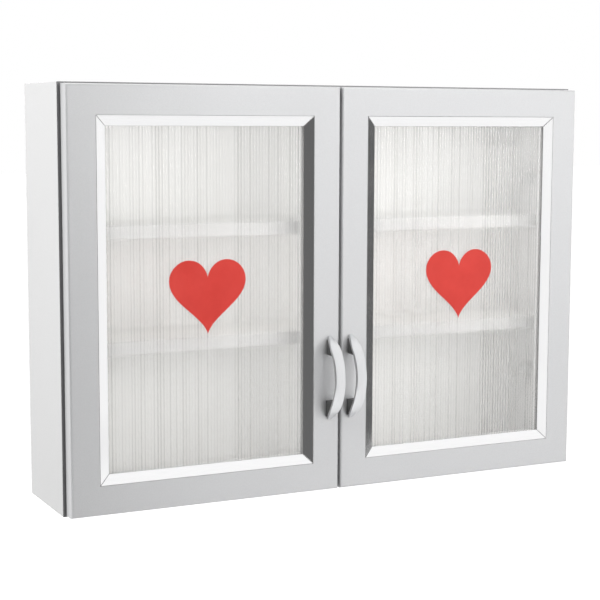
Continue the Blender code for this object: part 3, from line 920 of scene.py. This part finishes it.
def trim_matrix(door, place):
    """Where a trim bar lies (along it, inward across it and up from its seat), and its length."""
    low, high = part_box(f"glazing_trim_{door}_{place}")
    up = Vector((0, -1, 0))
    along, inward, start = {
        "top": (Vector((1, 0, 0)), Vector((0, 0, -1)), Vector((low.x, high.y, high.z))),
        "bottom": (Vector((1, 0, 0)), Vector((0, 0, 1)), Vector((low.x, high.y, low.z))),
        "left": (Vector((0, 0, 1)), Vector((1, 0, 0)), Vector((low.x, high.y, low.z))),
        "right": (Vector((0, 0, 1)), Vector((-1, 0, 0)), Vector((high.x, high.y, low.z))),
    }[place]
    length = (high - low).dot(along)
    return axes_matrix((along, inward, up), start), length


def add_trim(door, place):
    """One mitred trim bar with a flat bevel that falls towards the glass."""
    matrix, length = trim_matrix(door, place)
    shape = bmesh.new()
    near = [shape.verts.new((0, across, rise)) for across, rise in TRIM_SECTION]
    end = shape.faces.new(near)
    far = verts_of(bmesh.ops.extrude_face_region(shape, geom=[end]))
    bmesh.ops.translate(shape, verts=far, vec=(length, 0, 0))
    mitre = Matrix.Identity(4)
    mitre[0][1] = 1.0
    bmesh.ops.transform(shape, matrix=mitre, verts=near)
    mitre[0][1] = -1.0
    bmesh.ops.transform(shape, matrix=mitre, verts=far)
    bmesh.ops.transform(shape, matrix=matrix, verts=shape.verts)
    bmesh.ops.recalc_face_normals(shape, faces=shape.faces)
    node = f"glazing_trim_{door}_{place}"
    finish = CHROME_LEVEL if place in ("top", "bottom") else CHROME_UPRIGHT
    mesh = mesh_from(shape, f"{node}_piece", sharp=80.0)
    bar = new_piece(f"{node}_piece", mesh, f"{door}_door", finish, [node])
    ease(bar, SMALL_EASE, steps=3, from_angle=30.0)


def add_glass(door):
    """A sheet with a flat front and upright ribs behind."""
    node = f"glass_{door}"
    low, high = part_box(node)
    middle = (low + high) / 2
    size = high - low
    shape = bmesh.new()
    bmesh.ops.create_grid(
        shape,
        x_segments=RIBS * STEPS_PER_RIB,
        y_segments=1,
        size=0.5,
    )
    stand = Matrix.Rotation(math.radians(90), 4, "X")
    stretch = Matrix.Diagonal((size.x, 1.0, size.z, 1.0))
    bmesh.ops.transform(shape, matrix=stretch @ stand, verts=shape.verts)
    pitch = size.x / RIBS
    chance = random.Random(RIBS)
    inner = [rib + chance.uniform(-RIB_UNEVENNESS, RIB_UNEVENNESS) for rib in range(1, RIBS)]
    borders = [0.0] + inner + [float(RIBS)]
    grooves = [chance.uniform(*GROOVE_DEPTHS) for border in borders]
    # rib_rise also drives the glass's painted shade in the grooves
    rise = shape.verts.layers.float.new("rib_rise")
    for vert in shape.verts:
        across = (vert.co.x + size.x / 2) / pitch
        rib = min(int(across + FINE_WELD), RIBS - 1)
        part = across - rib
        share = 2 * part - 1
        dip = grooves[rib if share < 0 else rib + 1] * share * share
        vert[rise] = 1 - dip
        moved = borders[rib] + part * (borders[rib + 1] - borders[rib])
        vert.co.x = moved * pitch - size.x / 2
        vert.co.y = high.y - RIB_DEPTH * dip
    faces = list(shape.faces)
    front = verts_of(bmesh.ops.extrude_face_region(shape, geom=faces))
    for vert in front:
        vert.co.y = low.y
    bmesh.ops.translate(shape, verts=shape.verts, vec=(middle.x, 0, middle.z))
    bmesh.ops.recalc_face_normals(shape, faces=shape.faces)
    mesh = mesh_from(shape, f"{node}_piece", sharp=30.0)
    new_piece(f"{node}_piece", mesh, f"{door}_door", RIBBED_GLASS, [node])


def add_handle(door):
    """A flat bow with rounded tips that run into the door, on two narrower feet."""
    node = f"handle_{door}"
    low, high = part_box(node)
    middle = (low + high) / 2
    width = high.x - low.x
    seat = high.y
    crest = low.y + BOW_INSET
    rise = seat - crest
    half = (high.z - low.z) / 2
    radius = (half * half + rise * rise) / (2 * rise)
    centre = Vector((middle.x, crest + radius, middle.z))
    sweep = 2 * math.asin(half / radius) + math.radians(BOW_OVERRUN)
    shape = bmesh.new()
    bmesh.ops.create_grid(shape, x_segments=1, y_segments=1, size=0.5)
    bmesh.ops.scale(shape, verts=shape.verts, vec=(width, BOW_THICKNESS, 1))
    bmesh.ops.bevel(
        shape,
        geom=list(shape.verts),
        offset=BOW_CORNER,
        offset_type="OFFSET",
        affect="VERTICES",
        segments=4,
        profile=0.5,
        material=-1,
    )
    bmesh.ops.translate(
        shape,
        verts=shape.verts,
        vec=(middle.x, crest + BOW_THICKNESS / 2, middle.z),
    )
    bmesh.ops.rotate(
        shape,
        verts=shape.verts,
        cent=centre,
        matrix=Matrix.Rotation(-sweep / 2, 3, "X"),
    )
    bmesh.ops.spin(
        shape,
        geom=list(shape.verts) + list(shape.edges) + list(shape.faces),
        cent=centre,
        axis=(1, 0, 0),
        angle=sweep,
        steps=BOW_STEPS,
    )
    whole = list(shape.verts) + list(shape.edges) + list(shape.faces)
    cut = bmesh.ops.bisect_plane(
        shape,
        geom=whole,
        dist=FINE_WELD,
        plane_co=(0, seat, 0),
        plane_no=(0, 1, 0),
        clear_outer=True,
    )
    seam = [part for part in cut["geom_cut"] if isinstance(part, bmesh.types.BMEdge)]
    bmesh.ops.holes_fill(shape, edges=seam, sides=0)
    bmesh.ops.remove_doubles(shape, verts=shape.verts, dist=FINE_WELD)
    for vert in shape.verts:
        into_tip = (abs(vert.co.z - middle.z) - half + TIP_LENGTH) / TIP_LENGTH
        narrowing = 1 - TIP_NARROWING * min(max(into_tip, 0.0), 1.0) ** TIP_CURVE
        vert.co.x = middle.x + (vert.co.x - middle.x) * narrowing
    bmesh.ops.recalc_face_normals(shape, faces=shape.faces)
    mesh = mesh_from(shape, f"{node}_bow", sharp=40.0)
    new_piece(f"{node}_bow", mesh, f"{door}_door", SATIN_HANDLE, [node])
    for end, name in ((1, "upper"), (-1, "lower")):
        add_handle_foot(f"{node}_foot_{name}", door, middle, seat, end)


def add_handle_foot(name, door, middle, seat, end):
    """The wedge that fills the space under one end of the bow, in a dark finish that paints the
    shade there.
    """
    shape = bmesh.new()
    bmesh.ops.create_cube(shape, size=1.0)
    for vert in shape.verts:
        outer = vert.co.z > 0
        raised = vert.co.y < 0
        along = FOOT_OUTER_END if outer else FOOT_INNER_END
        tall = 0.0
        if raised:
            tall = FOOT_OUTER_HEIGHT if outer else FOOT_INNER_HEIGHT
        if raised and not outer:
            along -= FOOT_LEAN
        vert.co.x = middle.x + vert.co.x * FOOT_WIDTH
        vert.co.y = seat - tall
        vert.co.z = middle.z + end * along
    bmesh.ops.bevel(
        shape,
        geom=list(shape.edges),
        offset=FOOT_ROUNDING,
        offset_type="OFFSET",
        affect="EDGES",
        segments=2,
        profile=0.5,
        material=-1,
        clamp_overlap=True,
    )
    bmesh.ops.recalc_face_normals(shape, faces=shape.faces)
    mesh = mesh_from(shape, name, sharp=40.0)
    # The foot's dark finish is painted shade under the bow's end
    new_piece(name, mesh, f"{door}_door", FOOT_PAINTED_SHADE)


def dress_door(door):
    """Everything that swings with one door."""
    body = f"{door}_door"
    eased_piece(f"door_frame_{door}", body, SILVER_FILM, DOOR_EASE)
    eased_piece(f"glazing_seal_{door}", body, GREY_RUBBER, SEAL_EASE)
    for place in TRIM_PLACES:
        add_trim(door, place)
    add_glass(door)
    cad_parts[f"heart_decal_{door}"].material_slots[0].material = RED_VINYL
    add_handle(door)
    for level in LEVELS:
        node = f"handle_screw_{door}_{level}"
        low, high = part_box(node)
        middle = (low + high) / 2
        head = ((high.x - low.x) / 2, high.y - DOOR_BACK, HANDLE_SCREW_CROWN)
        places = [(middle.x, DOOR_BACK, middle.z)]
        screw_set(f"{node}_piece", body, places, (0, -1, 0), head, [node])
        dress_hinge(door, level)


# Studio


def seen_in_pieces(tree, path):
    """One for the rays by which the background is seen in metal and glass."""
    return worked(
        tree,
        "MAXIMUM",
        path.outputs["Is Glossy Ray"],
        path.outputs["Is Transmission Ray"],
    )


def add_floor():
    """A plain pale floor well below the hung cabinet. It looks white in the picture."""
    shape = bmesh.new()
    bmesh.ops.create_grid(shape, x_segments=1, y_segments=1, size=FLOOR_REACH)
    bmesh.ops.translate(shape, verts=shape.verts, vec=(0, 0, FLOOR_LEVEL))
    floor = in_scene("floor", mesh_from(shape, "floor"))
    finish, tree, shader, place = new_finish("pale_floor")
    feed(tree, shader, {"Base Color": grey(0.4), "Roughness": 0.9})
    away = put(tree, "ShaderNodeVectorMath", {"operation": "LENGTH"}, {0: place}).outputs["Value"]
    path = tree.nodes.new("ShaderNodeLightPath")
    picture_level = ranged(tree, away, 0.5, 0.95, 1.0, 2.0)
    mirror_level = ranged(tree, away, 0.56, 0.85, 2.0, 4.0)
    seen = worked(tree, "MULTIPLY", path.outputs["Is Camera Ray"], picture_level)
    mirrored = worked(tree, "MULTIPLY", seen_in_pieces(tree, path), mirror_level)
    strength = worked(tree, "ADD", seen, mirrored)
    glow = put(tree, "ShaderNodeEmission", None, {"Color": grey(1.0), "Strength": strength})
    both = put(tree, "ShaderNodeAddShader", None, {0: shader.outputs[0], 1: glow.outputs[0]})
    show(tree, both)
    floor.data.materials.append(finish)


def add_dark_card(name, feet, level):
    """A standing dark card that only shiny pieces show, as photographers use for bright trim."""
    shape = bmesh.new()
    verts = [shape.verts.new((x, y, FLOOR_LEVEL)) for x, y in feet]
    edges = [shape.edges.new(pair) for pair in zip(verts, verts[1:])]
    top = verts_of(bmesh.ops.extrude_edge_only(shape, edges=edges))
    bmesh.ops.translate(shape, verts=top, vec=(0, 0, CARD_HEIGHT))
    card = in_scene(name, mesh_from(shape, name))
    card.visible_camera = False
    card.visible_diffuse = False
    card.visible_transmission = False
    card.visible_shadow = False
    finish, tree = new_finish(name)[:2]
    glow = put(tree, "ShaderNodeEmission", None, {"Color": grey(level), "Strength": 1.0})
    show(tree, glow)
    card.data.materials.append(finish)


def add_softbox(name, place, width, height, brightness):
    """A soft light that looks at the cabinet. Polished metal shows the white room instead of it."""
    light = bpy.data.lights.new(name, "AREA")
    light.shape = "RECTANGLE"
    light.size = width
    light.size_y = height
    light.energy = brightness * math.pi * width * height
    lamp = in_scene(name, light)
    lamp.location = place
    lamp.rotation_euler = (-Vector(place)).to_track_quat("-Z", "Y").to_euler()
    lamp.visible_camera = False
    lamp.visible_glossy = False


def add_world(level):
    """White surroundings in the picture, and an even light from all sides."""
    world = bpy.data.worlds.new("studio")
    bpy.context.scene.world = world
    world.use_nodes = True
    tree = world.node_tree
    background = tree.nodes["Background"]
    background.inputs["Color"].default_value = grey(1.0)
    path = tree.nodes.new("ShaderNodeLightPath")
    seen = worked(tree, "MAXIMUM", path.outputs["Is Camera Ray"], seen_in_pieces(tree, path))
    strength = ranged(tree, seen, level, 1.0)
    tree.links.new(strength, background.inputs["Strength"])


def add_camera():
    """The photograph's viewpoint."""
    turn = math.radians(CAMERA_TURN)
    tilt = math.radians(CAMERA_TILT)
    lean = math.radians(CAMERA_LEAN)
    across = Vector((math.cos(turn), -math.sin(turn), 0))
    level = Vector((math.sin(turn), math.cos(turn), 0))
    up = Vector((0, 0, math.cos(tilt))) + level * math.sin(tilt)
    ahead = level * math.cos(tilt) - Vector((0, 0, math.sin(tilt)))
    axes = (
        across * math.cos(lean) + up * math.sin(lean),
        up * math.cos(lean) - across * math.sin(lean),
        -ahead,
    )
    lens = bpy.data.cameras.new("camera")
    lens.sensor_width = CAMERA_SENSOR
    lens.lens = CAMERA_LENS
    camera = in_scene("camera", lens)
    camera.matrix_world = axes_matrix(axes, CAMERA_PLACE)
    bpy.context.scene.camera = camera


dress_carcass()
for door in DOORS:
    dress_door(door)
add_floor()
for name, (feet, level) in DARK_CARDS.items():
    add_dark_card(name, feet, level)
for name, (place, width, height, brightness) in SOFTBOXES.items():
    add_softbox(name, place, width, height, brightness)
add_world(WORLD_LIGHT)
add_camera()
bpy.context.scene.view_settings.view_transform = "Standard"
